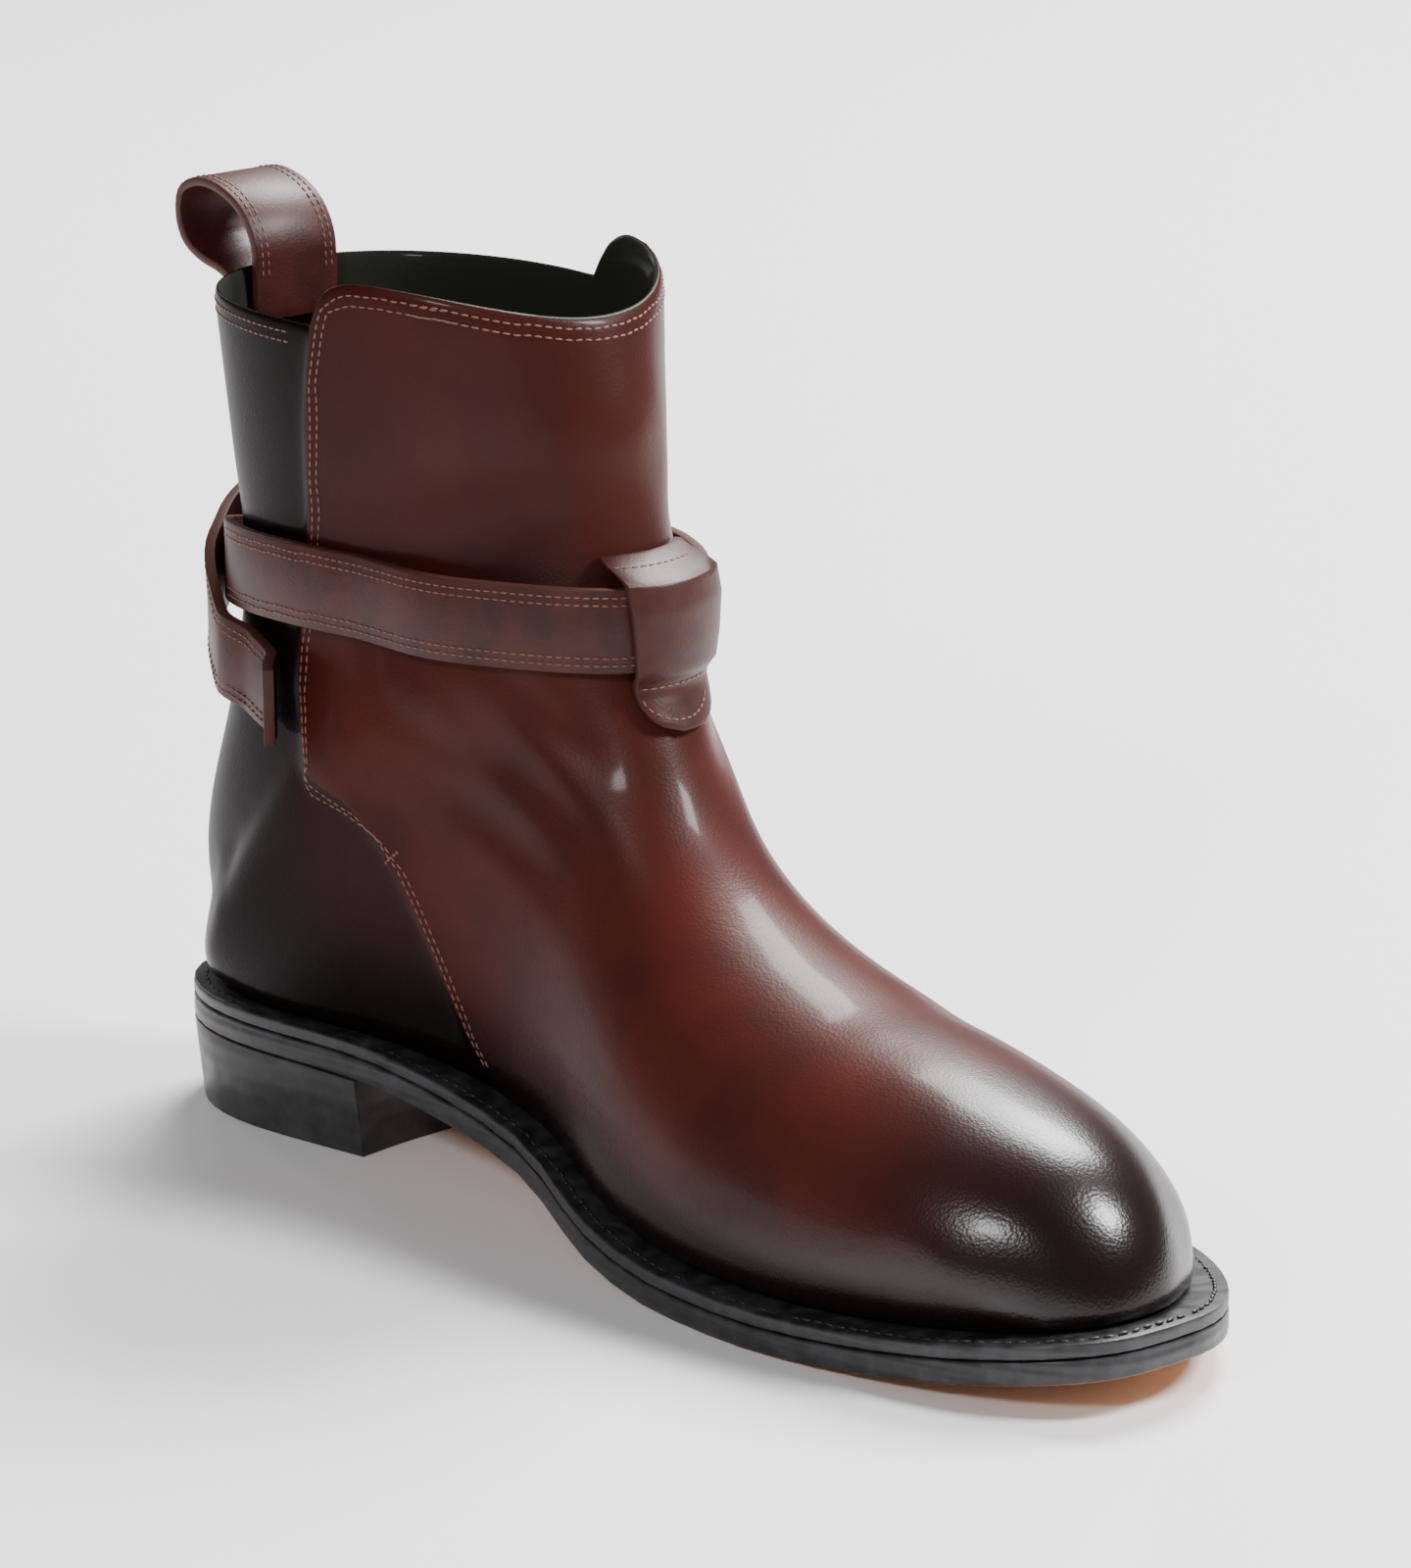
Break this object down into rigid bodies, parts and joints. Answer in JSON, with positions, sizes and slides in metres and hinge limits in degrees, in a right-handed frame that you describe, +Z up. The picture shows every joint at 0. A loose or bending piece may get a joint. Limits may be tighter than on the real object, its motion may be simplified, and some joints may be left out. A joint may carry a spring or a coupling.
{
  "type": "jodhpur boot",
  "caption": "Left leather jodhpur boot with a wrapped ankle strap, side buckle, front keeper, back pull loop, welt and stacked heel.",
  "frame": {"origin": "centre of the heel block's resting face, on the floor", "axes": "+X along the boot to the toe, +Y to the lateral side of this left boot, +Z up"},
  "size_m": [0.3123, 0.1009, 0.2029],
  "materials": {
    "burgundy_calf": "smooth burgundy calf, waxed to a high gloss",
    "black_edge": "sole leather with black waxed edges",
    "tan_leather": "natural vegetable tanned leather",
    "polished_metal": "polished nickel plate"
  },
  "bodies": {
    "root": {"outsole": "black_edge", "insole": "tan_leather", "welt": "black_edge", "heel_stack": "black_edge", "upper": "burgundy_calf", "strap_long": "burgundy_calf", "strap_short": "burgundy_calf", "buckle_frame": "polished_metal", "buckle_prong": "polished_metal", "keeper_loop": "burgundy_calf", "pull_loop": "burgundy_calf"}
  },
  "joints": []
}
